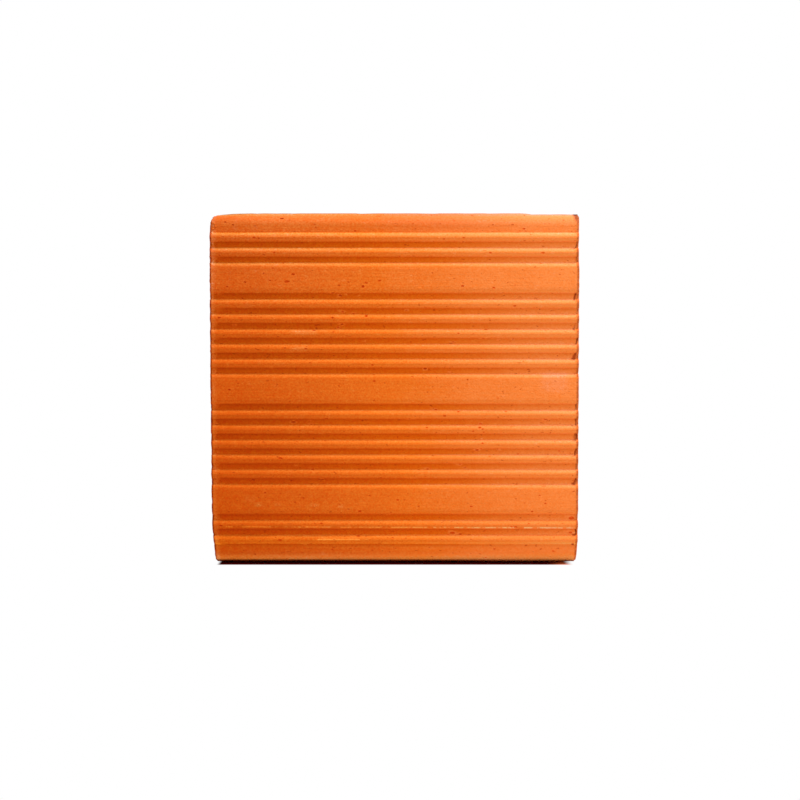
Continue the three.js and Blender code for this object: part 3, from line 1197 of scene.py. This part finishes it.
# Crumbs could stand out of the measured box, so every point is pulled back inside it.
for vertex in brick_mesh.vertices:
    vertex.co = [min(max(at, least), most) for at, least, most in zip(vertex.co, low, high)]
brick_mesh.shade_smooth()
brick_mesh.set_sharp_from_angle(angle=math.radians(40))
brick_mesh.calc_loop_triangles()
print("the brick has", len(brick_mesh.loop_triangles), "triangles")

# %% [markdown]
# ## The studio
# The brick stands on white, and only a thin dark gap under its edge, a shadow painted on the floor, shows
# that it touches the floor. Lamps strong enough to wash a floor out to white would wash the clay out too. So
# the floor and the world shine white for the rays that see them directly, and for all others they are only
# soft light on the brick.

# %% Rays that see the white
def mix_shaders(tree, share, first, second):
    """Mixes two shaders by a share from 0 to 1."""
    made = tree.nodes.new("ShaderNodeMixShader")
    for socket, value in zip(made.inputs, (share, first, second)):
        plug(tree, socket, value)
    return Flow(tree, made.outputs[0])


def seen_rays(tree):
    """1 for the rays that show the background: straight from the camera, off gloss and through glass."""
    path = tree.nodes.new("ShaderNodeLightPath")
    names = ("Is Camera Ray", "Is Glossy Ray", "Is Transmission Ray")
    return highest([Flow(tree, path.outputs[name]) for name in names])


print("the white shows to three kinds of rays")

# %% Floor
REACH = 3.0
floor_mesh = bpy.data.meshes.new("floor")
corners = [(-REACH, -REACH, 0), (REACH, -REACH, 0), (REACH, REACH, 0), (-REACH, REACH, 0)]
floor_mesh.from_pydata(corners, [], [(0, 1, 2, 3)])
floor = new_object("floor", floor_mesh)
print("floor", 2 * REACH, "m wide")

# %% White paper with a painted shadow under the brick
# The floor is painted dark under the brick, as the shadow in the gap, and this painted shadow ends a little
# inside the brick. On the right it fades out more softly and is warmer there.
LEFT_GAP_END = length / 2 - 7.5 * MM
RIGHT_GAP_END = 113.5 * MM
RIGHT_SOFTNESS = 0.45
SIDE_GAP_END = thickness / 2 - 2 * MM
GAP_SHADOW = (0.07, 0.003, 0.002, 1)
WARM_GAP_SHADOW = (0.5, 0.14, 0.05, 1)
PALE_PAPER = (0.55, 0.55, 0.55, 1)
WHITE = (1, 1, 1, 1)

paper = bpy.data.materials.new("white_paper")
paper.use_nodes = True
paper_tree = paper.node_tree
paper_tree.nodes.clear()
x, y, _ = split(add(paper_tree, "ShaderNodeTexCoord", output="Object"))
past_ends = (x * -1.0 - LEFT_GAP_END).math("MAXIMUM", (x - RIGHT_GAP_END) * RIGHT_SOFTNESS)
away = highest([past_ends, y.math("ABSOLUTE") - SIDE_GAP_END])
gap_start = y.fade(-10 * MM, 10 * MM, 1 * MM, -6 * MM)
# Painted shadow: a dark diffuse colour on the floor under the brick, warmer at the right end.
gap_shadow_colour = mixed(paper_tree, x.fade(104 * MM, 117 * MM), GAP_SHADOW, WARM_GAP_SHADOW)
gap = add(paper_tree, "ShaderNodeBsdfDiffuse", {"Color": gap_shadow_colour})
white = add(paper_tree, "ShaderNodeEmission", {"Color": WHITE, "Strength": 1.0})
shown = mix_shaders(paper_tree, away.fade(gap_start, 4 * MM), gap, white)
lit = add(paper_tree, "ShaderNodeBsdfDiffuse", {"Color": PALE_PAPER})
surface = mix_shaders(paper_tree, seen_rays(paper_tree), lit, shown)
plug(paper_tree, paper_tree.nodes.new("ShaderNodeOutputMaterial").inputs["Surface"], surface)
floor_mesh.materials.append(paper)
print("white_paper has", len(paper_tree.nodes), "nodes")

# %% World
SOFT_LIGHT = 0.9
world = bpy.data.worlds.new("studio")
world.use_nodes = True
bpy.context.scene.world = world
world_tree = world.node_tree
world_tree.nodes.clear()
soft = add(world_tree, "ShaderNodeBackground", {"Color": WHITE, "Strength": SOFT_LIGHT})
white = add(world_tree, "ShaderNodeBackground", {"Color": WHITE, "Strength": 1.0})
around = mix_shaders(world_tree, seen_rays(world_tree), soft, white)
plug(world_tree, world_tree.nodes.new("ShaderNodeOutputWorld").inputs["Surface"], around)
print("the world lights the brick from all sides")

# %% Lamp
# A round lamp high up in front, a little to the right, leaves the upper flanks of the grooves in shade. It
# looks at the middle of the front face.
lamp_data = bpy.data.lights.new("key", "AREA")
lamp_data.shape = "DISK"
lamp_data.size = 200 * MM
lamp_data.energy = 15
lamp = new_object("key", lamp_data)
lamp.location = Vector((420, -230, 1300)) * MM
aim = Vector((0, -thickness / 2, height / 2)) - lamp.location
lamp.rotation_euler = aim.to_track_quat("-Z", "Y").to_euler()
print("lamp at", [round(value / MM) for value in lamp.location], "mm")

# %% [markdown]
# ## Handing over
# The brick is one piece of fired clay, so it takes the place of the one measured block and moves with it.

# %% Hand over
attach(brick, "root")
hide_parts("clay_block")
